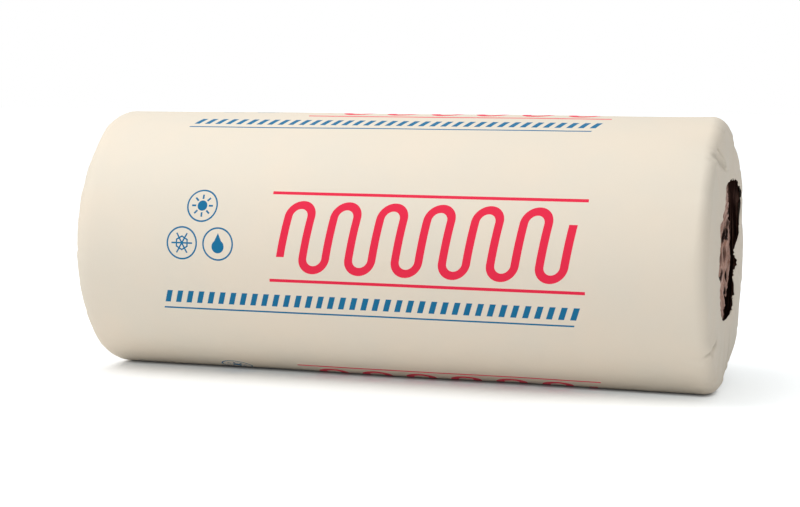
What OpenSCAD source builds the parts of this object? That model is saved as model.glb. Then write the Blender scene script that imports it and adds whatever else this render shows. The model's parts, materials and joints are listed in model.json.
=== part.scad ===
// Roll of glass wool in a film wrap, lying on its side.
// X runs along the roll, Z is up and the roll rests on Z = 0. Sizes are in millimetres.

/* [Roll] */

// Length of the wrapped roll, which is the width of the mat
roll_len = 1220; // [600:10:1400]
// Outside diameter of the wrapped roll
roll_dia = 512; // [420:2:700]
// Radius of the soft edge between the side and each end
edge_r = 32; // [12:1:48]

/* [Wool] */

// Diameter of the bore left in the middle of the winding
bore_dia = 64; // [40:1:100]
// Thickness of the squeezed mat, which is the pitch of its turns
mat_t = 30; // [20:0.5:50]
// Width of the seam between two turns on the ends of the roll
seam_w = 3; // [1:0.5:6]
// Depth of that seam
seam_depth = 9; // [3:0.5:20]

/* [Wrap] */

// Thickness of the film
film_t = 0.6; // [0.4:0.1:1.5]
// Clearance between the wool and the film round it
wrap_clearance = 0.3; // [0.1:0.05:0.8]
// Mean radius of the torn opening in the right end
torn_opening_r = 120; // [80:1:135]
// Mean radius of the plain opening in the left end
plain_opening_r = 110; // [80:1:150]

/* [Hidden] */

// Overrun of every cut past the face that it opens
overrun = 2;
// Facets asked for on round shapes
round_fn = 96;
// Angle round the bore, in degrees, at which the winding starts
winding_start = 35;

// Edge of the torn opening as shares of its mean radius, at even steps from the back over the top
torn_shares = [
    0.62, 1.02, 1.30, 1.36, 1.27, 1.17, 1.13, 1.15, 1.06, 0.90, 1.00, 0.94,
    0.97, 1.02, 0.95, 1.05, 1.12, 1.08, 1.00, 1.00, 0.93, 0.80, 0.72, 0.86
];
// Slow and quick waves in the edge of the plain opening, as shares of its mean radius
plain_wave_shares = [0.05, 0.03];
// Lobes of those two waves
plain_wave_lobes = [2, 5];
// Points round the edge of the plain opening
plain_points = 48;

roll_r = roll_dia / 2;
bore_r = bore_dia / 2;
// Flat of each end inside the soft edge
end_r = roll_r - edge_r;
// Inset of the wool's surface from the outside of the wrap
wool_inset = film_t + wrap_clearance;
wool_len = roll_len - 2 * wool_inset;
// Half turns of the seam that lie on the flat of an end
seam_half_turns = floor(2 * (end_r - seam_w - bore_r) / mat_t);

// Half section of the packed roll, drawn in from its outside by an inset: radius across, length up
module roll_section(inset) {
    side_len = roll_len - 2 * edge_r;
    end_len = roll_len - 2 * inset;
    translate([0, -side_len / 2]) square([roll_r - inset, side_len]);
    translate([0, -end_len / 2]) square([end_r, end_len]);
    for (end = [-1, 1])
        translate([end_r, end * side_len / 2]) circle(edge_r - inset, $fn = round_fn);
}

// Lays a shape that was turned about Z along X, at the height of the roll's axis
module lie() {
    translate([0, 0, roll_r]) rotate([0, 90, 0]) children();
}

// Half turn of the seam: half a ring about one of two centres, a quarter of the pitch from the axis
module seam_half_turn(i) {
    side = i % 2 == 0 ? 1 : -1;
    outer_r = bore_r + mat_t * (2 * i + 1) / 4 + seam_w / 2;
    translate([-side * mat_t / 4, 0]) intersection() {
        difference() {
            circle(outer_r, $fn = round_fn);
            circle(outer_r - seam_w, $fn = round_fn);
        }
        translate([-outer_r, (side - 1) / 2 * outer_r]) square([2 * outer_r, outer_r]);
    }
}

// Seam between the turns, a spiral that runs outward from the bore
module seam_outline() {
    rotate(winding_start)
        for (i = [0 : seam_half_turns - 1]) seam_half_turn(i);
}

// Wound mat with its bore, and the seam of its turns on both ends
module wool_roll() {
    cut_len = seam_depth + overrun;
    color([0.45, 0.32, 0.24])
    lie() difference() {
        rotate_extrude($fn = round_fn) difference() {
            roll_section(wool_inset);
            translate([-overrun, -wool_len / 2 - overrun])
                square([bore_r + overrun, wool_len + 2 * overrun]);
        }
        translate([0, 0, wool_len / 2 - seam_depth]) linear_extrude(cut_len) seam_outline();
        translate([0, 0, -wool_len / 2 - overrun]) linear_extrude(cut_len) seam_outline();
    }
}

// Point of an opening's edge, at an angle from the back of the roll over its top
function edge_point(r, angle) = r * [-sin(angle), cos(angle)];

// Edge of the torn opening
module torn_edge() {
    step = 360 / len(torn_shares);
    polygon([
        for (i = [0 : len(torn_shares) - 1]) edge_point(torn_opening_r * torn_shares[i], i * step)
    ]);
}

// Share of its mean radius that the plain opening has at an angle
function plain_share(angle) = 1
    + plain_wave_shares[0] * cos(plain_wave_lobes[0] * angle)
    + plain_wave_shares[1] * sin(plain_wave_lobes[1] * angle);

// Edge of the plain opening
module plain_edge() {
    step = 360 / plain_points;
    polygon([
        for (i = [0 : plain_points - 1])
            edge_point(plain_opening_r * plain_share(i * step), i * step)
    ]);
}

// Film drawn over both ends, open at the middle of each
module wrap_film() {
    cut_len = edge_r + overrun;
    color([0.86, 0.83, 0.76])
    lie() difference() {
        rotate_extrude($fn = round_fn) intersection() {
            difference() {
                roll_section(0);
                roll_section(film_t);
            }
            translate([0, -roll_len / 2 - overrun]) square([roll_r + overrun, roll_len + 2 * overrun]);
        }
        translate([0, 0, roll_len / 2 - edge_r]) linear_extrude(cut_len) torn_edge();
        translate([0, 0, -roll_len / 2 - overrun]) linear_extrude(cut_len) plain_edge();
    }
}

wool_roll();
wrap_film();
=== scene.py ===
"""Insulation roll: brown glass wool wound on itself in a cream film wrap with a generic print."""

import json
import math

import bpy
import numpy as np
from mathutils import Matrix, Vector


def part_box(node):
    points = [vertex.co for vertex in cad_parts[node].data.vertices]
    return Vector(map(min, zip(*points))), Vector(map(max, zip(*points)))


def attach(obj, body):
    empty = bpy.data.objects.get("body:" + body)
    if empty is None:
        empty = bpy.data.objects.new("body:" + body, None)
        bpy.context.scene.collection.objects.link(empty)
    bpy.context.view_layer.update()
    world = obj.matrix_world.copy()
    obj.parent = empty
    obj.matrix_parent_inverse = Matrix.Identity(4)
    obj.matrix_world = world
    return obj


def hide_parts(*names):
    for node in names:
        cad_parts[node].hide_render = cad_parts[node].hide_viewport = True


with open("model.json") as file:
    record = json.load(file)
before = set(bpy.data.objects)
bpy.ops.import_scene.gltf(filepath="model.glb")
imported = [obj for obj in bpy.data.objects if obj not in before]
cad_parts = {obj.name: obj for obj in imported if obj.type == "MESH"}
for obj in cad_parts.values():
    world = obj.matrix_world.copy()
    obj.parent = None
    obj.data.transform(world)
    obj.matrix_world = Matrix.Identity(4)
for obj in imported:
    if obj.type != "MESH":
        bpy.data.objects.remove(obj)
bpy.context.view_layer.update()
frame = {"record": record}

MM = 0.001
TAU = 2 * math.pi
QUARTER = TAU / 4
RIGHT, LEFT = 0, 1

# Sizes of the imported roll
film_low, film_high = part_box("wrap_film")
HALF_LEN = film_high.x
ROLL_R = (film_high.z - film_low.z) / 2
EDGE_R = 32 * MM
END_R = ROLL_R - EDGE_R
BORE_R = next(m for m in frame["record"]["mounts"] if m["name"] == "core_bore")["dims"]["r_mm"] * MM
MAT_T = 30 * MM

# The soft roll sinks a little onto the floor
SINK = 1.3 * MM
SINK_SOFT = 2.0 * MM
AXIS_Z = ROLL_R - SINK

# Angles run round the axis from the back of the roll over its top, so 180 degrees is the front


# Helpers for shapes

# Factors, shifts and masks of the hash that the noise draws its values from
HASH_FACTORS = (374761393, 668265263, 974634777)
HASH_MIX, HASH_SHIFTS = 1274126177, (13, 16)
HASH_MASK, HASH_TOP = 0xFFFFFFFF, 0xFFFF


def smooth(low, high, value):
    """0 below low, 1 above high, and a smooth step between them."""
    share = np.clip((value - low) / (high - low), 0.0, 1.0)
    return share * share * (3 - 2 * share)


def hill(distance, width):
    """1 at no distance, falling smoothly over a width."""
    return np.exp(-(distance / width) ** 2)


def plateau(distance, width):
    """Near 1 over a width on either side, with steep flanks."""
    return np.exp(-(distance / width) ** 4)


def noise(u, v, seed, wrap=None):
    """Smooth value noise from -1 to 1, with one cell a unit. u repeats every wrap cells."""
    u, v = np.broadcast_arrays(np.asarray(u, float), np.asarray(v, float))
    iu, iv = np.floor(u).astype(np.int64), np.floor(v).astype(np.int64)
    fu, fv = u - iu, v - iv
    fu, fv = fu * fu * (3 - 2 * fu), fv * fv * (3 - 2 * fv)

    def corner(i, j):
        if wrap:
            i = i % wrap
        h = (i * HASH_FACTORS[0] + j * HASH_FACTORS[1] + seed * HASH_FACTORS[2]) & HASH_MASK
        h = ((h ^ (h >> HASH_SHIFTS[0])) * HASH_MIX) & HASH_MASK
        return ((h ^ (h >> HASH_SHIFTS[1])) & HASH_TOP) * 2 / HASH_TOP - 1

    near = corner(iu, iv) * (1 - fu) + corner(iu + 1, iv) * fu
    far = corner(iu, iv + 1) * (1 - fu) + corner(iu + 1, iv + 1) * fu
    return near * (1 - fv) + far * fv


def ring_noise(a, cells, seed, across=0.5):
    """Noise round the roll, with a number of cells in a full turn."""
    return noise(a / TAU * cells, across, seed, wrap=cells)


def layered_noise(a, kinds, side=RIGHT):
    """Sum of kinds of noise round the roll: cells in a full turn, seed and share of each."""
    return sum(share * ring_noise(a, cells, seed + side) for cells, seed, share in kinds)


def by_angle(table, a):
    """Value at an angle, from a table of angles in degrees and values."""
    angles, values = np.transpose(table)
    return np.interp(np.degrees(a) % 360, angles, values, period=360)


def settle(x, r, a):
    """Point at radius r and angle a of the soft roll, lying on the floor."""
    y = r * np.cos(a)
    z = AXIS_Z + r * np.sin(a)
    lowest = 0.5 * (-SINK + math.hypot(SINK, SINK_SOFT))
    z = 0.5 * (z + np.hypot(z, SINK_SOFT)) - lowest
    return np.stack(np.broadcast_arrays(x, y, np.maximum(z, 0)), axis=-1)


def mesh_object(name, verts, faces, material, maps):
    """Smooth mesh with its UV maps, each given for every corner of every face."""
    mesh = bpy.data.meshes.new(name)
    mesh.from_pydata(verts.reshape(-1, 3).tolist(), [], faces.tolist())
    mesh.polygons.foreach_set("use_smooth", np.ones(len(faces), bool))
    for layer_name, uvs in maps.items():
        layer = mesh.uv_layers.new(name=layer_name)
        layer.data.foreach_set("uv", uvs.astype(np.float32).ravel())
    mesh.materials.append(material)
    mesh.update()
    obj = bpy.data.objects.new(name, mesh)
    bpy.context.scene.collection.objects.link(obj)
    return obj


def set_attribute(obj, name, values):
    """Number for every vertex, which a material can read."""
    attribute = obj.data.attributes.new(name, "FLOAT", "POINT")
    attribute.data.foreach_set("value", values.astype(np.float32).ravel())


def closed_quads(rows, cols):
    """Quads of a grid that closes on itself both ways: vertex of each corner, and its row and column."""
    i, j = np.meshgrid(np.arange(rows), np.arange(cols), indexing="ij")
    i, j = i.ravel(), j.ravel()
    corner_rows = np.stack([i, i + 1, i + 1, i], axis=1)
    corner_cols = np.stack([j, j, j + 1, j + 1], axis=1)
    return (corner_rows % rows) * cols + corner_cols % cols, corner_rows, corner_cols


# Film wrap

FILM_T = 0.4 * MM
# Columns of faces round the roll, closer at the creases and the torn side: first angle and step in degrees
COLUMN_STEPS = [(50, 1.3), (98, 0.5), (136, 1.3), (216, 0.5), (232, 1.3), (300, 0.8)]
LAST_ANGLE = COLUMN_STEPS[0][0] + 360
COLUMN_ENDS = [first for first, _ in COLUMN_STEPS[1:]] + [LAST_ANGLE]
ANGLES = np.radians(np.concatenate([
    np.linspace(first, last, round((last - first) / step), endpoint=False)
    for (first, step), last in zip(COLUMN_STEPS, COLUMN_ENDS)
]))[None, :]
FILM_COLS = ANGLES.shape[1]

# Rows of faces on each end, the power that crowds them towards its opening, and the rows of a rim
END_ROWS, END_ROWS_POWER, RIM_ROWS = (44, 16), 1.1, 12
# Stretch of the side near a rim that has close rows, its rows, and the rows between the two stretches
NEAR_RIM, NEAR_RIM_ROWS, MIDDLE_ROWS = 90 * MM, 12, 13

# Radius of the soft edge of the right and the left end: angle in degrees and radius in millimetres
RIM_RADII = (
    [
        (0, 17), (40, 24), (62, 38), (85, 28), (108, 25), (140, 21), (180, 22), (220, 22), (250, 26),
        (275, 33), (298, 25), (325, 18),
    ],
    [
        (0, 30), (60, 24), (95, 14), (115, 17), (130, 33), (150, 41), (180, 40), (210, 34), (235, 18),
        (290, 18),
    ],
)
# Each end swells outward round its opening, and the near half of the right end as far as its rim
END_BULGE = 7.5 * MM
NEAR_FALL_SHARE, FAR_FALL_SHARE = 0.15, 1.2
# Cosines of the angles between which the near side of the right end and of an edge turn into the far one
FALL_COSINES = (-0.45, 0.15)
EDGE_COSINES = (-0.2, 0.5)

# Mean radius of the torn opening in the right end, and the furthest that the tear runs out
TORN_R, TORN_REACH = 120 * MM, 226 * MM
# Edge of the torn opening: angle in degrees and share of its mean radius
TORN_SHARES = [
    (2.5, 0.59), (8, 0.58), (9.5, 0.66), (10.5, 1.04), (12.5, 1.25), (16.5, 1.29), (19.5, 1.24), (21, 1.44),
    (22.5, 1.69), (24.5, 1.85), (29, 1.78), (34.5, 1.67), (44, 1.52), (53, 1.40), (66, 1.26), (87, 1.15),
    (107, 1.15), (114, 1.09), (119, 0.98), (122, 0.90), (131, 0.89), (140, 0.95), (147, 1.02), (153, 0.95),
    (159, 0.88), (167, 0.86), (182, 0.89), (190, 0.97), (194, 0.95), (199, 0.87), (204, 0.85), (208, 0.92),
    (222, 0.97), (231, 1.02), (243, 1.05), (259, 0.98), (278, 0.95), (296, 1.02), (302, 1.04),
    (304.5, 0.97), (307, 0.90), (310, 0.92), (314, 1.00), (321, 1.05), (324, 0.88), (327, 0.72),
    (335, 0.67), (340, 0.80), (345, 0.93), (348, 1.10), (352, 1.06), (354.5, 0.76), (357, 0.63),
]
# Its jags: cells in a turn, seed and share of each kind, and their height at the near and the far side
JAGS = [(150, 3, 0.6), (70, 4, 0.4)]
JAG_NEAR, JAG_FAR = 1.2 * MM, 6.2 * MM
# Mean radius of the plain opening in the left end, the shares and lobes of its two waves, and its jags
PLAIN_R = 110 * MM
PLAIN_WAVE_SHARES, PLAIN_WAVE_LOBES = (0.05, 0.03), (2, 5)
PLAIN_JAGS, PLAIN_JAG = [(90, 5, 1.0)], 1.5 * MM

# Creases of the right end, in millimetres: depth, half width, and points behind and above the axis
CREASES = [
    (5.0, 2.4, [(-124, 200), (-36, 164)]),
    (3.5, 6.0, [(-158, 192), (-134, 183), (-62, 165)]),
    (4.5, 4.0, [(-121, -144), (-176, -151), (-192, -160)]),
    (3.5, 3.5, [(-176, -151), (-166, -160)]),
]
# Fade at a crease's ends in millimetres, and its ridge's place, width and height as shares of the crease
CREASE_FADE = (-7, 3)
RIDGE_AT_SHARE, RIDGE_W_SHARE, RIDGE_H_SHARE = 2.3, 1.4, 0.6
# Dents in the rim of the right end: angle and half width in degrees, and depth in millimetres
RIM_DENTS = [
    (63, 9, 2.5), (44, 4, 2.0), (14, 8, 3.0), (334, 6, 0.8), (312, 9, -1.5), (294, 9, 2.0), (284, 8, 2.0),
    (122, 8, 3.0),
]
DENT_REACH = 40 * MM

# Tucks round each rim, how much of a tuck shows on the rim itself, and their depth
TUCK_COUNTS, RIM_SHARES = (24, 26), (1.0, 0.2)
TUCK_DEPTH, TUCK_SEED = 4.0 * MM, 20
# Least and most of a tuck's shift in its space, slant, half width, reach in and out, and share of the depth
TUCK_SHIFT, TUCK_SLANT, TUCK_WIDTH = (-0.38, 0.38), (-1.6, 1.6), (4 * MM, 8 * MM)
TUCK_IN, TUCK_OUT, TUCK_SHARE = (30 * MM, 95 * MM), (8 * MM, 30 * MM), (0.25, 1.0)
# Ridge beside a tuck: its place, width and height as shares of the tuck
TUCK_RIDGE_AT_SHARE, TUCK_RIDGE_W_SHARE, TUCK_RIDGE_H_SHARE = 2, 1.6, 0.5
# How soon past an opening's edge the tucks show
TUCKS_FROM = 25 * MM
# Facets of the gathered film: cells in a turn, seed and share of each kind, and their height and reach
FACETS = [(26, 50, 1.0), (58, 52, 0.6)]
FACET_H, FACET_REACH = 2.0 * MM, 60 * MM
# Share of the tucks and facets that is left at the front and back of the right end
CALM_SHARE = 0.25

# Slack of the film on an end: cells in a turn, seed, wave length, height, and how soon past the edge
SLACK_CELLS, SLACK_SEED = 9, 31
SLACK_LENGTH, SLACK_H, SLACK_FROM = 60 * MM, 1.6 * MM, 30 * MM
# Flutter at an edge: its long waves, its fine ones, height at the near and the far side, and reach
FLUTTER_CELLS, FLUTTER_SEED, FLUTTER_LENGTH = 44, 11, 20 * MM
FINE_FLUTTER = [(92, 13, 0.6), (170, 15, 0.9)]
FLUTTER_NEAR, FLUTTER_FAR, FLUTTER_REACH = 1.0 * MM, 2.5 * MM, 14 * MM
# Waves of the side: cells in a turn, seed, length and height
SIDE_WAVES = [(12, 41, 260 * MM, 0.9 * MM), (26, 42, 110 * MM, 0.45 * MM)]
# Lap where the film closes on itself, low on the back: its step, the step's width, and where it fades
LAP_ANGLE = math.radians(316)
LAP_STEP, LAP_RISE, LAP_FADE = 0.7 * MM, 4 * MM, (16.5 * MM, 55 * MM)

# Shares of the bake map's height for the outside, the inside and the openings' edges, and of its width
STRIP_OUTSIDE, STRIP_INSIDE = (0.13, 0.99), (0.02, 0.08)
STRIP_LEFT_EDGE, STRIP_RIGHT_EDGE = (0.112, 0.122), (0.092, 0.102)
STRIP_ACROSS = (0.01, 0.99)


def far_side(a):
    """0 at the near side of an opening's edge and 1 at its far side."""
    return smooth(*EDGE_COSINES, np.cos(a))


def torn_edge_r(a):
    """Radius of the torn opening's edge, with small jags that are coarser on the far side."""
    jag = layered_noise(a, JAGS) * (JAG_NEAR + (JAG_FAR - JAG_NEAR) * far_side(a))
    return np.minimum(TORN_R * by_angle(TORN_SHARES, a) + jag, TORN_REACH)


def plain_edge_r(a):
    """Radius of the plain opening's edge."""
    slow, quick = PLAIN_WAVE_SHARES
    slow_lobes, quick_lobes = PLAIN_WAVE_LOBES
    wave = 1 + slow * np.cos(slow_lobes * a) + quick * np.sin(quick_lobes * a)
    return PLAIN_R * wave + layered_noise(a, PLAIN_JAGS) * PLAIN_JAG


EDGES = (torn_edge_r, plain_edge_r)


def rim_r(a, side):
    """Radius of the soft edge between the side and an end."""
    return MM * by_angle(RIM_RADII[side], a)


def end_x(r, a, side):
    """Distance of a smooth end from the middle of the roll."""
    fall = 1.0
    if side == RIGHT:
        fall = NEAR_FALL_SHARE + (FAR_FALL_SHARE - NEAR_FALL_SHARE) * smooth(*FALL_COSINES, np.cos(a))
    return HALF_LEN + END_BULGE * (1 - fall * (r / ROLL_R) ** 2)


def tucks(a, inward, side):
    """Folds where the film is gathered over the rim. inward is the way from the rim towards the opening."""
    rng = np.random.default_rng(TUCK_SEED + side)
    count = TUCK_COUNTS[side]
    total = 0.0
    for k in range(count):
        at = (k + rng.uniform(*TUCK_SHIFT)) * TAU / count
        slant = rng.uniform(*TUCK_SLANT)
        width = rng.uniform(*TUCK_WIDTH)
        reach_in = rng.uniform(*TUCK_IN)
        reach_out = rng.uniform(*TUCK_OUT)
        depth = rng.uniform(*TUCK_SHARE)
        arc = ((a - at - slant * inward + math.pi) % TAU - math.pi) * END_R
        ridge = hill(arc - TUCK_RIDGE_AT_SHARE * width, TUCK_RIDGE_W_SHARE * width)
        fold = hill(arc, width) - TUCK_RIDGE_H_SHARE * ridge
        fade = hill(np.maximum(inward, 0), reach_in) * hill(np.maximum(-inward, 0), reach_out)
        total = total - depth * fold * fade
    return total


def rim_lift(a, inward, side):
    """How far the gathered film stands out or in near a rim. inward is 0 in the middle of the soft edge."""
    on_end = smooth(0, EDGE_R, inward)
    share = RIM_SHARES[side] + (1 - RIM_SHARES[side]) * on_end
    facets = layered_noise(a, FACETS, side) * hill(inward, FACET_REACH) * FACET_H
    lift = share * (tucks(a, inward, side) * TUCK_DEPTH + facets)
    if side == RIGHT:
        lift = lift * (CALM_SHARE + (1 - CALM_SHARE) * np.sin(a) ** 2)
        for angle, half_width, depth in RIM_DENTS:
            away = (np.degrees(a) - angle + 180) % 360 - 180
            lift = lift - depth * MM * hill(away, half_width) * hill(inward, DENT_REACH)
    return lift


def creases(y, z):
    """Relief of the creases, each a groove with a ridge under it, and a mask of the grooves, where the film
    lies double and its colour holds painted shade.
    """
    total, fold = 0.0, 0.0
    for depth, width, points in CREASES:
        for (y0, z0), (y1, z1) in zip(points, points[1:]):
            length = math.hypot(y1 - y0, z1 - z0)
            along = ((y / MM - y0) * (y1 - y0) + (z / MM - z0) * (z1 - z0)) / length
            below = ((y / MM - y0) * (z1 - z0) - (z / MM - z0) * (y1 - y0)) / length
            ends = smooth(*CREASE_FADE, along) * smooth(*CREASE_FADE, length - along)
            ridge = ends * hill(below - RIDGE_AT_SHARE * width, RIDGE_W_SHARE * width)
            groove = ends * hill(below, width)
            total = total + depth * MM * (RIDGE_H_SHARE * ridge - groove)
            fold = np.maximum(fold, groove)
    return total, fold


def film_end(side):
    """Rows of one end of the film from its opening's edge to its rim: x, r and fold."""
    a = ANGLES
    edge_r, soft_r = EDGES[side](a), rim_r(a, side)
    outer_r = ROLL_R - soft_r
    share = np.linspace(0, 1, END_ROWS[side])[:, None] ** END_ROWS_POWER
    r = edge_r + (outer_r - edge_r) * share
    past_edge = r - edge_r
    slack = ring_noise(a, SLACK_CELLS, SLACK_SEED + side, r / SLACK_LENGTH)
    slack = slack * SLACK_H * smooth(0, SLACK_FROM, past_edge)
    flutter = ring_noise(a, FLUTTER_CELLS, FLUTTER_SEED + side, past_edge / FLUTTER_LENGTH)
    flutter = flutter + layered_noise(a, FINE_FLUTTER, side)
    flutter = flutter * (FLUTTER_NEAR + (FLUTTER_FAR - FLUTTER_NEAR) * far_side(a))
    lift = rim_lift(a, soft_r * QUARTER / 2 + outer_r - r, side) * smooth(0, TUCKS_FROM, past_edge)
    x = end_x(r, a, side) + slack + flutter * np.exp(-past_edge / FLUTTER_REACH) + lift
    if side == LEFT:
        return x, r, np.zeros_like(r)
    relief, fold = creases(r * np.cos(a), r * np.sin(a))
    return x + relief, r, fold


def film_rim(side):
    """Rows of the soft edge from the end to the side: x, r and fold."""
    soft_r = rim_r(ANGLES, side)
    turn = np.linspace(0, QUARTER, RIM_ROWS)[1:-1, None]
    lift = rim_lift(ANGLES, soft_r * (QUARTER / 2 - turn), side)
    r = ROLL_R - soft_r + (soft_r + lift) * np.sin(turn)
    x = end_x(r, ANGLES, side) - soft_r + (soft_r + lift) * np.cos(turn)
    if side == LEFT:
        return x, r, np.zeros_like(r)
    relief, fold = creases(r * np.cos(ANGLES), r * np.sin(ANGLES))
    return x + relief * np.cos(turn), r, fold * np.cos(turn)


def film_side():
    """Rows of the side from the right rim to the left one, with the lap on the back."""
    a = ANGLES
    soft_r = [rim_r(a, side) for side in (RIGHT, LEFT)]
    right, left = end_x(ROLL_R, a, RIGHT) - soft_r[RIGHT], soft_r[LEFT] - HALF_LEN
    near = np.linspace(0, NEAR_RIM, NEAR_RIM_ROWS)[:, None]
    share = np.linspace(0, 1, MIDDLE_ROWS)[1:-1, None]
    middle = (right - NEAR_RIM) * (1 - share) + (left + NEAR_RIM) * share
    x = np.concatenate([right - near, middle, left + near[::-1]])
    lift = rim_lift(a, x - right - soft_r[RIGHT] * QUARTER / 2, RIGHT)
    lift = lift + rim_lift(a, left - x - soft_r[LEFT] * QUARTER / 2, LEFT)
    for cells, seed, length, height in SIDE_WAVES:
        lift = lift + ring_noise(a, cells, seed, x / length) * height
    past_lap = ((a - LAP_ANGLE + math.pi) % TAU - math.pi) * ROLL_R
    lift = lift + LAP_STEP * smooth(0, LAP_RISE, past_lap) * (1 - smooth(*LAP_FADE, past_lap))
    return x, ROLL_R + lift


def build_film(material):
    """Closed thin shell: outside, inside and the two opening edges."""
    ends = [film_end(side) for side in (RIGHT, LEFT)]
    rims = [film_rim(side) for side in (RIGHT, LEFT)]
    side_x, side_r = film_side()
    x = np.concatenate([ends[RIGHT][0], rims[RIGHT][0], side_x, -rims[LEFT][0][::-1], -ends[LEFT][0][::-1]])
    r = np.concatenate([ends[RIGHT][1], rims[RIGHT][1], side_r, rims[LEFT][1][::-1], ends[LEFT][1][::-1]])
    fold = np.zeros_like(r)
    folded_rows = len(ends[RIGHT][2]) + len(rims[RIGHT][2])
    fold[:folded_rows] = np.concatenate([ends[RIGHT][2], rims[RIGHT][2]])
    outside = settle(x, r, ANGLES)
    along = np.gradient(outside, axis=0)
    around = np.roll(outside, -1, axis=1) - np.roll(outside, 1, axis=1)
    normal = np.cross(around, along)
    normal /= np.linalg.norm(normal, axis=-1, keepdims=True)
    middle = len(x) // 2
    top_column = np.argmin(np.abs(ANGLES[0] - QUARTER))
    if normal[middle, top_column, 2] < 0:
        normal = -normal
    inside = outside - normal * FILM_T
    inside[..., 2] = np.maximum(inside[..., 2], 0.5 * FILM_T)
    verts = np.concatenate([outside, inside[::-1]])
    rows, half = len(verts), len(outside)
    faces, row_at, col_at = closed_quads(rows, FILM_COLS)

    # Print map: metres along the roll, and metres of arc upward from the middle of the front
    steps = np.linalg.norm(np.diff(outside, axis=0), axis=-1)
    path = np.concatenate([np.zeros((1, FILM_COLS)), np.cumsum(steps, axis=0)])
    along_m = x[middle] + path[middle] - path
    u = np.concatenate([along_m, along_m[::-1]])[row_at % rows, col_at % FILM_COLS]
    corner_angle = np.append(ANGLES[0], ANGLES[0, 0] + TAU)[col_at]
    v = (math.pi - corner_angle) * ROLL_R

    # Bake map: the outside over most of the picture, the inside in a strip and the edges in two thin ones
    share = path[:, top_column] / path[-1, top_column]
    heights = np.empty((rows, 2))
    for first, (low, high) in ((0, STRIP_OUTSIDE), (half, STRIP_INSIDE)):
        heights[first:first + half - 1, 0] = low + (high - low) * share[:-1]
        heights[first:first + half - 1, 1] = low + (high - low) * share[1:]
    heights[half - 1], heights[-1] = STRIP_LEFT_EDGE, STRIP_RIGHT_EDGE
    face_row = row_at[:, :1]
    bake_v = np.where(row_at == face_row, heights[face_row, 0], heights[face_row, 1])
    first_u, last_u = STRIP_ACROSS
    bake_u = first_u + (last_u - first_u) * (corner_angle - ANGLES[0, 0]) / TAU
    maps = {"surface": np.stack([u, v], axis=-1), "OFBake": np.stack([bake_u, bake_v], axis=-1)}
    film = mesh_object("wrap_film_soft", verts, faces, material, maps)
    # Mask of the crease grooves, which the material darkens as doubled film and painted shade
    set_attribute(film, "fold", np.concatenate([fold, fold[::-1]]))
    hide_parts("wrap_film")
    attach(film, "root")
    return film


# Wool

WOOL_COLS = 620
WOOL_ANGLES = np.arange(WOOL_COLS)[None, :] * TAU / WOOL_COLS
WINDING_START = math.radians(55)
# The mat parts into two layers, so a turn shows as two
LAYER_T = MAT_T / 2
PARTING_SHARE = 0.6
# Radius at which lengths along the winding are measured
WINDING_R = 90 * MM
# Soft edge of the wool under the film, and its inset from the film at the rim, at the side and on the floor
WOOL_EDGE_R = 22 * MM
RIM_INSET, SIDE_INSET, FLOOR_INSET = 10 * MM, 6 * MM, 2 * MM
HIDDEN_R = ROLL_R - SIDE_INSET - WOOL_EDGE_R
# Rows of faces on each end, as first and last radius and number, on the soft edge and in the bore
WOOL_END_ROWS = (
    [(BORE_R, 130 * MM, 66), (132 * MM, HIDDEN_R, 40)],
    [(BORE_R, 122 * MM, 34), (128 * MM, HIDDEN_R, 4)],
)
WOOL_EDGE_ROWS, BORE_ROWS = 4, 7

# Depth of the wool under the film of an end, how soon before the edge it goes under, and the room there
UNDER_FILM, COVER_FROM, COVER_ROOM = 4.5 * MM, 6 * MM, 20 * MM
# How much lower it lies further from the edge, over what distance, and the share of its relief that is left
LOWER_BY, LOWER_OVER, COVERED_RELIEF_SHARE = 4 * MM, 25 * MM, 0.3
# Rise of the wool in each opening: how far, and between which distances from the edge
RISES = (2 * MM, 3 * MM)
RISE_OVER = ((-1 * MM, 9 * MM), (-2 * MM, 26 * MM))
WOOL_SEEDS = (60, 80)

# Near turns push out through the torn opening: how far, over how many layers, and reach below and above
PUSH_OUT, PUSH_LAYERS = 9.5 * MM, 3.2
PUSH_REACH = (85 * MM, 95 * MM)
# Places between which the push ends towards the back, and shares of a layer between which it steps up
PUSH_ENDS, STEP_SHARES = (-60 * MM, 20 * MM), (0.45, 1.0)
# Front of the hollow behind them: its place, how much further back it is above the axis, and its step
FRONT_AT, FRONT_BACK, FRONT_RISE, FRONT_STEP = -34 * MM, 26 * MM, 140 * MM, 12 * MM
# Waves in that front: length, height and seed
FRONT_LENGTH, FRONT_H, FRONT_SEED = 22 * MM, 4 * MM, 66
# Reach of the hollow, the width of its wall, its depth near and far, and how much painted shade its floor
# gets
HOLLOW_R, HOLLOW_WALL = 224 * MM, 15 * MM
HOLLOW_NEAR, HOLLOW_FAR, HOLLOW_SHADE = 20 * MM, 50 * MM, 0.4
# Widths of the wall, from its foot, over which the painted shade of the hollow sets in
WALL_SHADE_WIDTHS = (3, 1)

# Seam between two layers: half width and depth where it is shut, and how much more where it gapes
SEAM_HALF, SEAM_HALF_MORE = 0.8 * MM, 4.4 * MM
SEAM_DEPTH, SEAM_DEPTH_MORE = 3 * MM, 24 * MM
# Painted shade in a seam: shift towards the bore, half width where it is shut, and how much more where it
# gapes
DARK_SHIFT, DARK_HALF, DARK_HALF_MORE = 3.0 * MM, 0.9 * MM, 5.4 * MM
# Painted shade along a shut seam: how dark it is and its half width
LINE_SHADE, LINE_HALF = 0.3, 1.1 * MM
# How dark the painted shade in a gap between layers gets, where 1 is the wall of the hollow, and the width
# share that is as dark
GAP_MOST, GAP_FULL = 0.98, 0.75
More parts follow.
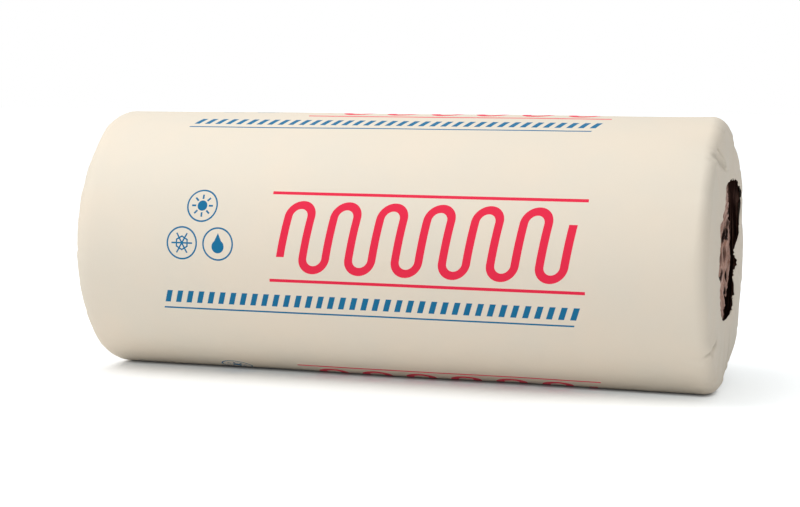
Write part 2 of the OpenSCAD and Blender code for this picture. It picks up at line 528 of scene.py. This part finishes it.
# Gaps between layers of the right end: angle in degrees, layer, half length in degrees and width share
LAYER_GAPS = [
    (141, 2, 12, 1.0), (149, 3, 12, 0.8), (205, 1, 13, 1.0), (234, 2, 17, 1.0), (197, 3, 9, 0.7),
    (172, 2, 12, 0.5), (178, 3, 9, 0.4), (118, 2, 14, 0.6), (214, 4, 9, 0.6), (163, 4, 8, 0.5),
    (100, 3, 16, 0.7), (250, 1, 16, 0.8),
]
# Chance gaps: width share, length, and the gain and loss that leave only the highest noise
CHANCE_SHARE, CHANCE_LENGTH, CHANCE_GAIN, CHANCE_LOSS = 0.28, 48 * MM, 1.5, 0.5
# Crumples: length along the winding, depth into the mat, seed, height, and drift along the winding
CRUMPLES = [
    (34 * MM, 2.4 * MM, 3, 0.9 * MM, 0),
    (9 * MM, 4.0 * MM, 4, 0.5 * MM, 0),
    (52 * MM, 11 * MM, 5, 2.0 * MM, 1),
]


def winding(r, a):
    """Turn of the mat at a point of an end, as the angle along the winding, and the depth into the mat."""
    turns = (r - BORE_R) / MAT_T - (a + WINDING_START) / TAU
    turn = np.floor(turns)
    return a + TAU * turn, (turns - turn) * MAT_T


def layers_in(r, a):
    """How many layers of the mat lie between the bore and a point of an end."""
    return (r - BORE_R) / LAYER_T - 2 * (a + WINDING_START) / TAU


def seam_gape(seam, a, seed, gaps):
    """How far the seam under a layer gapes, from 0 to 1."""
    along = a + math.pi * seam
    chance = noise(along * WINDING_R / CHANCE_LENGTH, 0.5, seed)
    gape = CHANCE_SHARE * np.clip(chance * CHANCE_GAIN - CHANCE_LOSS, 0, 1)
    for angle, layer, half_length, share in gaps:
        away = (along - math.radians(angle) - math.pi * layer) / math.radians(half_length)
        same_layer = (seam - layer) % 2 == 0
        gape = np.maximum(gape, same_layer * share * np.sqrt(np.clip(1 - away ** 2, 0, 1)))
    return gape


def layer_relief(r, a, seed, gaps=()):
    """Height of the wool on an end, with gaping seams and crumples, and the painted shade in its gaps."""
    layers = layers_in(r, a)
    seam = np.round(layers)
    off = (layers - seam) * LAYER_T
    gape = seam_gape(seam, a, seed, gaps)
    strength = np.where(seam % 2 == 0, 1.0, PARTING_SHARE)
    groove = plateau(off, SEAM_HALF + SEAM_HALF_MORE * gape)
    relief = -(SEAM_DEPTH + SEAM_DEPTH_MORE * gape) * strength * groove
    # Painted shade in a gaping seam and along a shut one
    parted_shade = gape * plateau(off + DARK_SHIFT, DARK_HALF + DARK_HALF_MORE * gape)
    painted_shade = smooth(0, GAP_FULL, parted_shade) + LINE_SHADE * strength * hill(off, LINE_HALF)

    angle, depth = winding(r, a)
    for length, deep, kind, height, drift in CRUMPLES:
        crumple = noise(angle * WINDING_R / length, depth / deep + drift * angle, seed + kind)
        relief = relief + crumple * height
    return relief, GAP_MOST * np.clip(painted_shade, 0, 1)


def under_film(x, r, edge_r, limit):
    """Keeps the wool under the film outside the opening, and lower further from its edge."""
    covered = smooth(-COVER_FROM, 0, r - edge_r)
    lower = smooth(0, LOWER_OVER, r - edge_r) * LOWER_BY
    return np.where(covered > 0, np.minimum(x, limit - lower + (1 - covered) * COVER_ROOM), x)


def relief_share(inside):
    """Share of the relief that shows, by how far inside the opening a point is."""
    return COVERED_RELIEF_SHARE + (1 - COVERED_RELIEF_SHARE) * inside


def right_end(r, a):
    """The open end: the near turns push out through the opening, and the far ones have sunk away."""
    y, z = r * np.cos(a), r * np.sin(a)
    edge_r = torn_edge_r(a)
    limit = end_x(r, a, RIGHT) - UNDER_FILM
    inside = smooth(*RISE_OVER[RIGHT], edge_r - r)
    relief, painted_shade = layer_relief(r, a, WOOL_SEEDS[RIGHT], LAYER_GAPS)

    # Steps up from layer to layer, from the film's edge inward
    layers = layers_in(r, a)
    number = np.floor(layers)
    stair = number + smooth(*STEP_SHARES, layers - number)
    climb = np.clip((layers_in(edge_r, a) - stair) / PUSH_LAYERS, 0, 1)
    push = PUSH_OUT * hill(z, np.where(z < 0, *PUSH_REACH)) * (1 - smooth(*PUSH_ENDS, y))
    x = limit + inside * (RISES[RIGHT] + push * climb) + relief * relief_share(inside)

    # Hollow behind the near turns, with a floor that slopes in to a wall under the film at the back, both
    # with painted shade
    front = FRONT_AT + FRONT_BACK * smooth(0, FRONT_RISE, z)
    front = front + noise(z / FRONT_LENGTH, 0.5, FRONT_SEED) * FRONT_H
    behind = smooth(0, FRONT_STEP, y - front)
    hollow = behind * smooth(0, HOLLOW_WALL, HOLLOW_R - r)
    x = x - hollow * (HOLLOW_NEAR + (HOLLOW_FAR - HOLLOW_NEAR) * smooth(0, HOLLOW_R, y))
    # Painted shade on the hollow's floor and, darker, on its wall
    first, last = (HOLLOW_R - widths * HOLLOW_WALL for widths in WALL_SHADE_WIDTHS)
    wall = smooth(first, last, r) * smooth(0, HOLLOW_WALL, HOLLOW_R + HOLLOW_WALL - r)
    hollow_shade = behind * np.maximum(HOLLOW_SHADE * (r < HOLLOW_R), wall)
    return under_film(x, r, edge_r, limit), np.maximum(painted_shade, hollow_shade)


def left_end(r, a):
    """The plain end: the turns swell a little in the opening."""
    edge_r = plain_edge_r(a)
    limit = end_x(r, a, LEFT) - UNDER_FILM
    inside = smooth(*RISE_OVER[LEFT], edge_r - r)
    relief, painted_shade = layer_relief(r, a, WOOL_SEEDS[LEFT])
    x = limit + inside * RISES[LEFT] + relief * relief_share(inside)
    return under_film(x, r, edge_r, limit), painted_shade


WOOL_ENDS = (right_end, left_end)


def build_wool(material):
    """One closed mesh: the right end, the hidden side, the left end and the bore."""
    a = WOOL_ANGLES
    full = np.ones_like(a)
    right_r, left_r = (
        np.concatenate([np.linspace(*stretch) for stretch in stretches])[:, None] * full
        for stretches in WOOL_END_ROWS
    )
    right_x, right_shade = right_end(right_r, a)
    left_x, left_shade = left_end(left_r, a)
    turn = np.linspace(0, QUARTER, WOOL_EDGE_ROWS)[1:, None]
    side_r = HIDDEN_R + WOOL_EDGE_R * np.sin(turn) * full
    side_x = HALF_LEN - WOOL_EDGE_R - RIM_INSET + WOOL_EDGE_R * np.cos(turn) * full
    bore_share = np.linspace(0, 1, BORE_ROWS)[1:-1, None]
    bore_x = -left_x[0] + (right_x[0] + left_x[0]) * bore_share
    x = np.concatenate([right_x, side_x, -side_x[::-1], -left_x[::-1], bore_x])
    r = np.concatenate([right_r, side_r, side_r[::-1], left_r[::-1], np.full_like(bore_x, BORE_R)])
    plain = np.zeros_like(side_x)
    painted_shade = np.concatenate([right_shade, plain, plain, left_shade[::-1], np.zeros_like(bore_x)])
    verts = settle(x, r, a)
    verts[..., 2] = np.maximum(verts[..., 2], FLOOR_INSET)
    rows = len(verts)
    faces, row_at, col_at = closed_quads(rows, WOOL_COLS)

    # Grain map: length along the winding, and depth into the mat
    angle, depth = winding(r[row_at % rows, col_at % WOOL_COLS], col_at * TAU / WOOL_COLS)
    grain = np.stack([angle * WINDING_R, depth], axis=-1)
    wool = mesh_object("wool_roll_soft", verts, faces, material, {"surface": grain})
    # Painted shade of the gaps and the hollow, which the material reads
    set_attribute(wool, "painted_shade", painted_shade)
    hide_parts("wool_roll")
    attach(wool, "root")
    return wool


# Loose strands on the wool in each opening
STRAND_COUNTS, STRAND_SEED = (700, 700), 90
STRAND_POINTS = 6
STRAND_R, STRAND_TIP_SHARE = 0.34 * MM, 0.25
# Least and most of a strand's place from the bore to the edge, length, and thickness share
STRAND_PLACES, STRAND_LENGTHS, STRAND_SHARES = (0.02, 0.94), (12 * MM, 46 * MM), (0.6, 1.3)
# Spread of its drift and bow, the part of the bow that centres it, its height and how much it lifts at most
STRAND_SPREAD, BOW_CENTRE, STRAND_OFF, STRAND_LIFT = 5 * MM, 0.08, 0.1 * MM, 1.6 * MM
# Least distance of a strand from the bore and from the film's edge, and the most painted shade that it lies
# over
FROM_BORE, FROM_EDGE, SHADE_CROSSED = 1.5 * MM, 5 * MM, 0.5


def strand_paths(side, rng):
    """Middle lines of the strands of one end, which mostly follow the turns."""
    column = (STRAND_COUNTS[side], 1)
    share = np.linspace(-0.5, 0.5, STRAND_POINTS)[None, :]
    a0 = rng.uniform(0, TAU, column)
    r0 = BORE_R + (EDGES[side](a0) - BORE_R) * np.sqrt(rng.uniform(*STRAND_PLACES, column))
    length = rng.uniform(*STRAND_LENGTHS, column)
    drift = rng.normal(0, STRAND_SPREAD, column)
    bow = rng.normal(0, STRAND_SPREAD, column)
    lift = rng.uniform(0, 1, column) ** 3 * STRAND_LIFT
    a = a0 + share * length / r0
    r = r0 + drift * share + bow * (share ** 2 - BOW_CENTRE)
    least_r = BORE_R + FROM_BORE
    r = np.clip(r, least_r, np.maximum(EDGES[side](a) - FROM_EDGE, least_r))
    wool_x, painted_shade = WOOL_ENDS[side](r, a)
    x = wool_x + STRAND_OFF + lift * (1 - (2 * share) ** 2)
    on_top = painted_shade.max(axis=1) < SHADE_CROSSED
    return settle(x if side == RIGHT else -x, r, a)[on_top]


def build_strands(material):
    """Thin three-sided spindles, joined in one mesh."""
    rng = np.random.default_rng(STRAND_SEED)
    paths = np.concatenate([strand_paths(side, rng) for side in (RIGHT, LEFT)])
    along = np.gradient(paths, axis=1)
    along /= np.linalg.norm(along, axis=-1, keepdims=True)
    across = np.cross(along, (1.0, 0.0, 0.0))
    across /= np.linalg.norm(across, axis=-1, keepdims=True)
    upright = np.cross(across, along)
    taper = np.ones(STRAND_POINTS)
    taper[[0, -1]] = STRAND_TIP_SHARE
    radius = STRAND_R * taper[None, :, None] * rng.uniform(*STRAND_SHARES, (len(paths), 1, 1))
    rings = [
        paths + radius * (math.cos(turn) * across + math.sin(turn) * upright)
        for turn in (0, TAU / 3, 2 * TAU / 3)
    ]
    verts = np.stack(rings, axis=2)
    start = np.arange(len(paths))[:, None, None] * STRAND_POINTS * 3
    ring = np.arange(STRAND_POINTS - 1)[None, :, None] * 3
    corner = np.arange(3)[None, None, :]
    after = (corner + 1) % 3
    first, second = start + ring + corner, start + ring + after
    tris = np.concatenate([
        np.stack([first, second + 3, second], axis=-1).reshape(-1, 3),
        np.stack([first, first + 3, second + 3], axis=-1).reshape(-1, 3),
        (start[:, 0] + np.array([0, 1, 2])).reshape(-1, 3),
        (start[:, 0] + (STRAND_POINTS - 1) * 3 + np.array([2, 1, 0])).reshape(-1, 3),
    ])
    strands = mesh_object("wool_strands", verts, tris, material, {})
    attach(strands, "root")
    return strands


# Materials

class Graph:
    """Short calls that add shader nodes to one node tree."""

    def __init__(self, tree):
        self.tree = tree

    def put(self, value, socket):
        """A socket is linked, and a plain value is set."""
        if isinstance(value, bpy.types.NodeSocket):
            self.tree.links.new(value, socket)
        else:
            socket.default_value = value

    def node(self, kind, *values, **named):
        """New node with values for its inputs, by place or by name with underscores for spaces."""
        node = self.tree.nodes.new("ShaderNode" + kind)
        for value, socket in zip(values, node.inputs):
            self.put(value, socket)
        for name, value in named.items():
            self.put(value, node.inputs[name.replace("_", " ")])
        return node

    def math(self, operation, *values):
        node = self.node("Math", *values)
        node.operation = operation
        return node.outputs[0]

    def most(self, *values):
        """Largest of several values, which joins masks."""
        result = values[0]
        for value in values[1:]:
            result = self.math("MAXIMUM", result, value)
        return result

    def all(self, *values):
        """Product of several masks."""
        result = values[0]
        for value in values[1:]:
            result = self.math("MULTIPLY", result, value)
        return result

    def uv(self):
        node = self.node("UVMap")
        node.uv_map = "surface"
        return node.outputs[0]

    def attribute(self, name):
        node = self.node("Attribute")
        node.attribute_name = name
        return node.outputs["Fac"]

    def position(self):
        return self.node("TexCoord").outputs["Object"]

    def dot(self, vector, other):
        node = self.node("VectorMath", vector, other)
        node.operation = "DOT_PRODUCT"
        return node.outputs["Value"]

    def split(self, vector):
        return self.node("SeparateXYZ", vector).outputs

    def scaled(self, vector, scale):
        return self.node("Mapping", vector, Scale=scale).outputs[0]

    def noise(self, vector, scale, detail=3.0, roughness=0.55):
        node = self.node("TexNoise", Vector=vector, Scale=scale, Detail=detail, Roughness=roughness)
        return node.outputs["Fac"]

    def ramp(self, factor, *stops):
        node = self.node("ValToRGB", factor)
        elements = node.color_ramp.elements
        while len(elements) < len(stops):
            elements.new(0.5)
        for element, (place, colour) in zip(elements, stops):
            element.position = place
            element.color = (*colour, 1)
        return node.outputs[0]

    def mix(self, factor, first, second):
        node = self.node("Mix")
        node.data_type = "RGBA"
        self.put(factor, node.inputs["Factor"])
        for name, value in (("A", first), ("B", second)):
            self.put(value if isinstance(value, bpy.types.NodeSocket) else (*value, 1), node.inputs[name])
        return node.outputs["Result"]

    def bump(self, height, strength, distance):
        return self.node("Bump", Strength=strength, Distance=distance, Height=height).outputs[0]

    def seen(self):
        """1 for rays from the camera and for those that mirror or pass on what it sees."""
        path = self.node("LightPath").outputs
        return self.most(path["Is Camera Ray"], path["Is Glossy Ray"], path["Is Transmission Ray"])


def new_material(name):
    """Material with its node graph and its main shader's inputs."""
    material = bpy.data.materials.new(name)
    material.use_nodes = True
    return material, Graph(material.node_tree), material.node_tree.nodes["Principled BSDF"].inputs


# Print, in metres: repeats round the roll, slant, and heights from the middle of a repeat
REPEATS, SLANT = 4, 0.18
REPEAT = TAU * ROLL_R / REPEATS
# Coil: first stroke, step and number of steps, middle, half height of the strokes, and width of the line
COIL_LOW, COIL_STEP, COIL_STEPS = -0.165, 0.045, 12
COIL_MIDDLE, COIL_HALF, COIL_STROKE = 0.032, 0.038, 0.0155
# Lines above and below the coil: distance from its middle, width, and how far they run past its ends
RAIL_OFF, RAIL_W, RAIL_PAST = 0.083, 0.006, 0.03
# Bars: middle, half height, slant, first and last step, step and width
BARS_AT, BARS_HALF, BAR_SLANT = -0.092, 0.0125, 2 * SLANT
BAR_FIRST, BAR_LAST, BAR_STEP, BAR_W = -17, 19, 0.022, 0.011
# Rule under the bars: middle and width
RULE_AT, RULE_W = -0.117, 0.0035
# Round signs: radius and line of the ring, middles, and where the rays and arms end
SIGN_R, SIGN_LINE = 0.030, 0.0032
SUN_AT, FLAKE_AT, DROP_AT = (-0.335, 0.086), (-0.372, 0.014), (-0.298, 0.014)
SPOKE_END = 0.0215
# Sun: radius, and the number, width and start of its rays
SUN_R, SUN_RAYS, RAY_W, RAY_FROM = 0.010, 8, 0.0036, 0.013
# Snow crystal: number and width of its arms, and the place and half width of the ring across them
FLAKE_ARMS, ARM_W, FLAKE_RING, FLAKE_RING_HALF = 6, 0.0030, 0.011, 0.0014
# Drop: radius of its bowl and how low it lies, and the height, half width and taper of its tip
BOWL_R, BOWL_LOW = 0.0125, 0.005
TIP_H, TIP_HALF, TIP_TAPER = 0.0205, 0.0095, 0.46


def between(g, value, low, high):
    """Mask of the values from low to high."""
    return g.math("COMPARE", value, (low + high) / 2, (high - low) / 2)


def hypot(g, x, y):
    """Length of a way along x and y."""
    return g.math("SQRT", g.math("ADD", g.math("MULTIPLY", x, x), g.math("MULTIPLY", y, y)))


def coil_mask(g, u, w):
    """Upright strokes joined in turn at the top and at the bottom by half rings."""
    up = g.math("SUBTRACT", w, COIL_MIDDLE)
    along = g.math("SUBTRACT", g.math("MULTIPLY_ADD", up, -SLANT, u), COIL_LOW)
    to_stroke = g.math("PINGPONG", along, COIL_STEP / 2)

    def to_ring(shift, height):
        x = g.math("WRAP", g.math("ADD", along, shift), COIL_STEP, -COIL_STEP)
        off = g.math("SUBTRACT", hypot(g, x, g.math("SUBTRACT", up, height)), COIL_STEP / 2)
        return g.math("ABSOLUTE", off)

    above = g.math("GREATER_THAN", up, COIL_HALF)
    below = g.math("LESS_THAN", up, -COIL_HALF)
    beside = between(g, up, -COIL_HALF, COIL_HALF)
    distance = g.math("MULTIPLY", to_stroke, beside)
    distance = g.math("MULTIPLY_ADD", to_ring(-COIL_STEP / 2, COIL_HALF), above, distance)
    distance = g.math("MULTIPLY_ADD", to_ring(COIL_STEP / 2, -COIL_HALF), below, distance)
    stroke = g.math("LESS_THAN", distance, COIL_STROKE / 2)
    first = g.math("MULTIPLY_ADD", below, COIL_STEP, -COIL_STROKE / 2)
    last = g.math("MULTIPLY_ADD", above, -COIL_STEP, COIL_STEP * COIL_STEPS + COIL_STROKE / 2)
    ends = g.all(g.math("GREATER_THAN", along, first), g.math("LESS_THAN", along, last))
    return g.all(stroke, ends, between(g, up, -RAIL_OFF, RAIL_OFF))


def rail_mask(g, u, w):
    """Line above and below the coil."""
    off = g.math("ABSOLUTE", g.math("SUBTRACT", w, COIL_MIDDLE))
    line = g.math("COMPARE", off, RAIL_OFF, RAIL_W / 2)
    last = COIL_LOW + COIL_STEP * COIL_STEPS
    return g.all(line, between(g, u, COIL_LOW - RAIL_PAST, last + RAIL_PAST))


def bar_mask(g, u, w):
    """Row of slanted bars over a thin rule."""
    along = g.math("MULTIPLY_ADD", w, -BAR_SLANT, u)
    bars = g.math("LESS_THAN", g.math("PINGPONG", along, BAR_STEP / 2), BAR_W / 2)
    bars = g.all(bars, between(g, w, BARS_AT - BARS_HALF, BARS_AT + BARS_HALF))
    rule = g.math("COMPARE", w, RULE_AT, RULE_W / 2)
    ends = between(g, along, BAR_FIRST * BAR_STEP - BAR_W / 2, BAR_LAST * BAR_STEP + BAR_W / 2)
    return g.all(g.most(bars, rule), ends)


def sign_mask(g, u, w):
    """Three round signs: a sun, a snow crystal and a drop."""
    masks = []

    def polar(at):
        x, y = g.math("SUBTRACT", u, at[0]), g.math("SUBTRACT", w, at[1])
        r = hypot(g, x, y)
        masks.append(g.math("COMPARE", r, SIGN_R, SIGN_LINE / 2))
        return x, y, r, g.math("ARCTAN2", y, x)

    def spokes(r, angle, count, width):
        turn = g.math("PINGPONG", angle, math.pi / count)
        return turn, g.math("LESS_THAN", g.math("MULTIPLY", turn, r), width / 2)

    _, _, r, angle = polar(SUN_AT)
    _, rays = spokes(r, angle, SUN_RAYS, RAY_W)
    masks.append(g.math("LESS_THAN", r, SUN_R))
    masks.append(g.all(rays, between(g, r, RAY_FROM, SPOKE_END)))

    _, _, r, angle = polar(FLAKE_AT)
    turn, arms = spokes(r, angle, FLAKE_ARMS, ARM_W)
    across = g.math("MULTIPLY", r, g.math("COSINE", turn))
    ring = g.math("COMPARE", across, FLAKE_RING, FLAKE_RING_HALF)
    masks.append(g.all(arms, g.math("LESS_THAN", r, SPOKE_END)))
    masks.append(ring)

    x, y, _, _ = polar(DROP_AT)
    bowl_y = g.math("ADD", y, BOWL_LOW)
    masks.append(g.math("LESS_THAN", hypot(g, x, bowl_y), BOWL_R))
    tip = g.math("MULTIPLY_ADD", y, -TIP_TAPER, TIP_HALF)
    masks.append(g.all(g.math("LESS_THAN", g.math("ABSOLUTE", x), tip), between(g, y, 0.0, TIP_H)))
    return g.most(*masks)


# Colours of the film, of film that lies double, which in the creases also holds painted shade, and of the
# print
CREAM = (0.845, 0.755, 0.628)
CREAM_COOL = (0.815, 0.747, 0.633)
CREAM_DOUBLED_AND_SHADED = (0.55, 0.50, 0.41)
PRINT_RED = (0.86, 0.026, 0.075)
PRINT_BLUE = (0.008, 0.165, 0.34)
# Mottling from cool to warm cream: scale, detail and ends of the change
MOTTLE_SCALE, MOTTLE_DETAIL, MOTTLE_ENDS = 7, 2, (0.35, 0.65)
# Half width of the lap's line, how doubled the film looks along it, and how much doubled film and painted
# shade a crease gets
LAP_LINE_HALF, LAP_SHARE, FOLD_SHADE_SHARE = 1.2 * MM, 0.25, 0.6
# Changes of gloss: stretch, scale and detail, least roughness, how much more, and how much less on print
GLOSS_STRETCH, GLOSS_SCALE, GLOSS_DETAIL = (6, 40, 1), 3, 4
ROUGH_LEAST, ROUGH_MORE, PRINT_LESS = 0.48, 0.2, 0.08
FILM_SPECULAR = 0.12
# Stretch wrinkles: stretch, scale, detail and roughness of the noise, and strength and height of the bump
WRINKLE_STRETCH, WRINKLE_SCALE, WRINKLE_DETAIL, WRINKLE_ROUGH = (14, 5, 1), 4, 5, 0.6
WRINKLE_STRENGTH, WRINKLE_H = 0.25, 1.5 * MM


def film_material():
    """Satin film with faint mottling, fine stretch wrinkles, the print, the line of the lap, and doubled
    film with painted shade in the creases.
    """
    material, g, shader = new_material("packing_film")
    u, v, _ = g.split(g.uv())
    w = g.math("WRAP", v, REPEAT / 2, -REPEAT / 2)
    red = g.most(coil_mask(g, u, w), rail_mask(g, u, w))
    blue = g.most(bar_mask(g, u, w), sign_mask(g, u, w))
    mottle = g.noise(g.position(), MOTTLE_SCALE, MOTTLE_DETAIL)
    cream = g.ramp(mottle, *zip(MOTTLE_ENDS, (CREAM_COOL, CREAM)))
    lap = g.math("COMPARE", v, (math.pi - LAP_ANGLE) * ROLL_R, LAP_LINE_HALF)
    # The crease mask darkens the cream with doubled film and painted shade in the grooves
    crease_shade = g.math("MULTIPLY", g.attribute("fold"), FOLD_SHADE_SHARE)
    doubled_and_shaded = g.most(g.math("MULTIPLY", lap, LAP_SHARE), crease_shade)
    cream = g.mix(doubled_and_shaded, cream, CREAM_DOUBLED_AND_SHADED)
    g.put(g.mix(blue, g.mix(red, cream, PRINT_RED), PRINT_BLUE), shader["Base Color"])
    gloss = g.noise(g.scaled(g.uv(), GLOSS_STRETCH), GLOSS_SCALE, GLOSS_DETAIL)
    rough = g.math("MULTIPLY_ADD", gloss, ROUGH_MORE, ROUGH_LEAST)
    g.put(g.math("MULTIPLY_ADD", g.most(red, blue), -PRINT_LESS, rough), shader["Roughness"])
    g.put(FILM_SPECULAR, shader["Specular IOR Level"])
    stretched = g.scaled(g.uv(), WRINKLE_STRETCH)
    wrinkle = g.noise(stretched, WRINKLE_SCALE, WRINKLE_DETAIL, WRINKLE_ROUGH)
    g.put(g.bump(wrinkle, WRINKLE_STRENGTH, WRINKLE_H), shader["Normal"])
    return material


# Painted shade of the gaps between layers and of the hollow's wall, the wall's lighter streaks, and the
# colours of the wool
GAP_SHADE_COLOUR = (0.008, 0.0035, 0.003)
HOLLOW_SHADE_COLOUR = (0.045, 0.021, 0.017)
HOLLOW_STREAK = (0.44, 0.27, 0.21)
WOOL_DARK = (0.145, 0.073, 0.051)
WOOL_BROWN = (0.43, 0.24, 0.178)
WOOL_PALE = (0.73, 0.49, 0.41)
# Thin layers and broad patches of the wool: stretch and detail of the noise, and share of the tone
LAYER_STRETCH, LAYER_DETAIL, LAYER_ROUGH, LAYER_SHARE = (22, 420, 1), 6, 0.65, 0.6
PATCH_STRETCH, PATCH_DETAIL, PATCH_SHARE = (14, 60, 1), 3, 0.45
# Tones that are dark, brown and pale
TONE_STOPS = (0.36, 0.50, 0.64)
# Streaks on the hollow's wall: stretch and detail of the noise, and ends of the change
STREAK_STRETCH, STREAK_DETAIL, STREAK_ENDS = (240, 8, 8), 2, (0.50, 0.78)
WOOL_ROUGH, WOOL_SPECULAR = 0.95, 0.1
WOOL_SHEEN, SHEEN_ROUGH = 0.25, 0.6
WOOL_BUMP_STRENGTH, WOOL_BUMP_H = 0.7, 2 * MM


def wool_material():
    """Brown glass wool: thin layers along the turns, with painted shade where they part and on the hollow's
    wall.
    """
    material, g, shader = new_material("glass_wool")
    layers = g.noise(g.scaled(g.uv(), LAYER_STRETCH), 1, LAYER_DETAIL, LAYER_ROUGH)
    patches = g.noise(g.scaled(g.uv(), PATCH_STRETCH), 1, PATCH_DETAIL)
    tone = g.math("MULTIPLY_ADD", patches, PATCH_SHARE, g.math("MULTIPLY", layers, LAYER_SHARE))
    colour = g.ramp(tone, *zip(TONE_STOPS, (WOOL_DARK, WOOL_BROWN, WOOL_PALE)))
    streaks = g.noise(g.scaled(g.position(), STREAK_STRETCH), 1, STREAK_DETAIL)
    hollow = g.ramp(streaks, *zip(STREAK_ENDS, (HOLLOW_SHADE_COLOUR, HOLLOW_STREAK)))
    # Painted shade: near black in the gaps, dark with lighter streaks on the hollow's wall
    painted_shade = g.attribute("painted_shade")
    on_wall = g.node("MapRange", painted_shade, GAP_MOST, 1.0, 0.0, 1.0).outputs[0]
    g.put(g.mix(painted_shade, colour, g.mix(on_wall, GAP_SHADE_COLOUR, hollow)), shader["Base Color"])
    g.put(WOOL_ROUGH, shader["Roughness"])
    g.put(WOOL_SPECULAR, shader["Specular IOR Level"])
    g.put(g.math("MULTIPLY_ADD", painted_shade, -WOOL_SHEEN, WOOL_SHEEN), shader["Sheen Weight"])
    g.put(SHEEN_ROUGH, shader["Sheen Roughness"])
    g.put(g.bump(layers, WOOL_BUMP_STRENGTH, WOOL_BUMP_H), shader["Normal"])
    return material


# Strands: scale and detail of their tone, ends of its change, roughness and shine
STRAND_SCALE, STRAND_DETAIL, STRAND_ENDS = 160, 2, (0.35, 0.65)
STRAND_ROUGH, STRAND_SPECULAR = 0.7, 0.2


def strand_material():
    """Single fibres, from brown to pale from one to the next."""
    material, g, shader = new_material("wool_strand")
    tone = g.noise(g.position(), STRAND_SCALE, STRAND_DETAIL)
    g.put(g.ramp(tone, *zip(STRAND_ENDS, (WOOL_BROWN, WOOL_PALE))), shader["Base Color"])
    g.put(STRAND_ROUGH, shader["Roughness"])
    g.put(STRAND_SPECULAR, shader["Specular IOR Level"])
    return material


# Stage, light and camera

# Light of the world from the left, the front and above: each part's side, towards which it grows, and level
SKY_SIDES = [((-1, 0, 0), 0.16), ((0, -1, 0), 0.57), ((0, 0, 1), 0.745)]
# Softbox high on the left: place in metres, what it looks at, width in metres and power in watts
SOFTBOX_AT, SOFTBOX_TO = (-1.8, -1.5, 4.1), (0, 0, 0.25)
SOFTBOX_W, SOFTBOX_POWER = 3.2, 90
# Floor: width, tone, and reach of the gap under the roll, where the painted light of the glow that the
# camera sees fades
FLOOR_W, FLOOR_TONE, GAP_REACH = 60, 0.88, 0.007
# The glow lights nothing and grows away from the roll, where it is painted light that pales the floor's
# shadow: its middle, first and last distance, and level there
GLOW_AT, GLOW_FIRST, GLOW_LAST = (-0.2, 0, 0), 0.5, 1.0
GLOW_NEAR, GLOW_FAR = 0.22, 0.55
GLOW_COLOUR = (0.92, 0.98, 1.0, 1)


def build_stage():
    """White floor that keeps the shadow near the roll, with painted light that pales it further off, under
    a soft sky that is brightest above.
    """
    bpy.ops.mesh.primitive_plane_add(size=FLOOR_W)
    floor = bpy.context.object
    floor.name = "floor"
    material, g, shader = new_material("floor")
    g.put((FLOOR_TONE, FLOOR_TONE, FLOOR_TONE, 1), shader["Base Color"])
    g.put(0.0, shader["Specular IOR Level"])
    g.put(GLOW_COLOUR, shader["Emission Color"])
    open_share = g.node("AmbientOcclusion", Distance=GAP_REACH).outputs["AO"]
    away = g.node("VectorMath", g.position(), GLOW_AT)
    away.operation = "DISTANCE"
    glow = g.node("MapRange", away.outputs["Value"], GLOW_FIRST, GLOW_LAST, GLOW_NEAR, GLOW_FAR).outputs[0]
    g.put(g.all(g.seen(), open_share, glow), shader["Emission Strength"])
    floor.data.materials.append(material)

    world = bpy.data.worlds.new("studio")
    bpy.context.scene.world = world
    world.use_nodes = True
    g = Graph(world.node_tree)
    toward = g.node("TexCoord").outputs["Generated"]
    light = 0.0
    for side, level in SKY_SIDES:
        facing = g.math("MAXIMUM", g.dot(toward, side), 0.0)
        light = g.math("MULTIPLY_ADD", facing, level, light)
    seen = g.seen()
    lit = g.math("MULTIPLY", light, g.math("SUBTRACT", 1.0, seen))
    background = world.node_tree.nodes["Background"]
    background.inputs["Color"].default_value = (1, 1, 1, 1)
    g.put(g.math("ADD", lit, seen), background.inputs["Strength"])

    lamp = bpy.data.lights.new("softbox", "AREA")
    lamp.size = SOFTBOX_W
    lamp.energy = SOFTBOX_POWER
    softbox = bpy.data.objects.new("softbox", lamp)
    softbox.location = SOFTBOX_AT
    softbox.rotation_euler = (Vector(SOFTBOX_AT) - Vector(SOFTBOX_TO)).to_track_quat("Z", "Y").to_euler()
    softbox.visible_camera = False
    bpy.context.scene.collection.objects.link(softbox)


# Camera of the photograph: place in metres, turns in radians, focal length in pixels and sensor's width
CAMERA_AT = (1.10925, -3.32426, 0.57049)
CAMERA_YAW, CAMERA_DOWN, CAMERA_ROLL = -0.32850, 0.09463, 0.00411
CAMERA_FOCAL_PX = 1798.94
IMAGE_W_PX, SENSOR_W_MM = 800, 36


def build_camera():
    """Camera at the photograph's viewing angle."""
    camera = bpy.data.cameras.new("camera")
    camera.sensor_fit = "HORIZONTAL"
    camera.sensor_width = SENSOR_W_MM
    camera.lens = CAMERA_FOCAL_PX / IMAGE_W_PX * camera.sensor_width
    obj = bpy.data.objects.new("camera", camera)
    look = Vector((
        math.sin(CAMERA_YAW) * math.cos(CAMERA_DOWN),
        math.cos(CAMERA_YAW) * math.cos(CAMERA_DOWN),
        -math.sin(CAMERA_DOWN),
    ))
    right = Vector((math.cos(CAMERA_YAW), -math.sin(CAMERA_YAW), 0))
    up = right.cross(look)
    tilted_right = math.cos(CAMERA_ROLL) * right + math.sin(CAMERA_ROLL) * up
    tilted_up = math.cos(CAMERA_ROLL) * up - math.sin(CAMERA_ROLL) * right
    turn = Matrix((tilted_right, tilted_up, -look)).transposed().to_4x4()
    obj.matrix_world = Matrix.Translation(CAMERA_AT) @ turn
    bpy.context.scene.collection.objects.link(obj)
    bpy.context.scene.camera = obj


build_camera()
build_stage()
wool = build_wool(wool_material())
build_strands(strand_material())
film = build_film(film_material())

bpy.context.scene.view_settings.view_transform = "Standard"
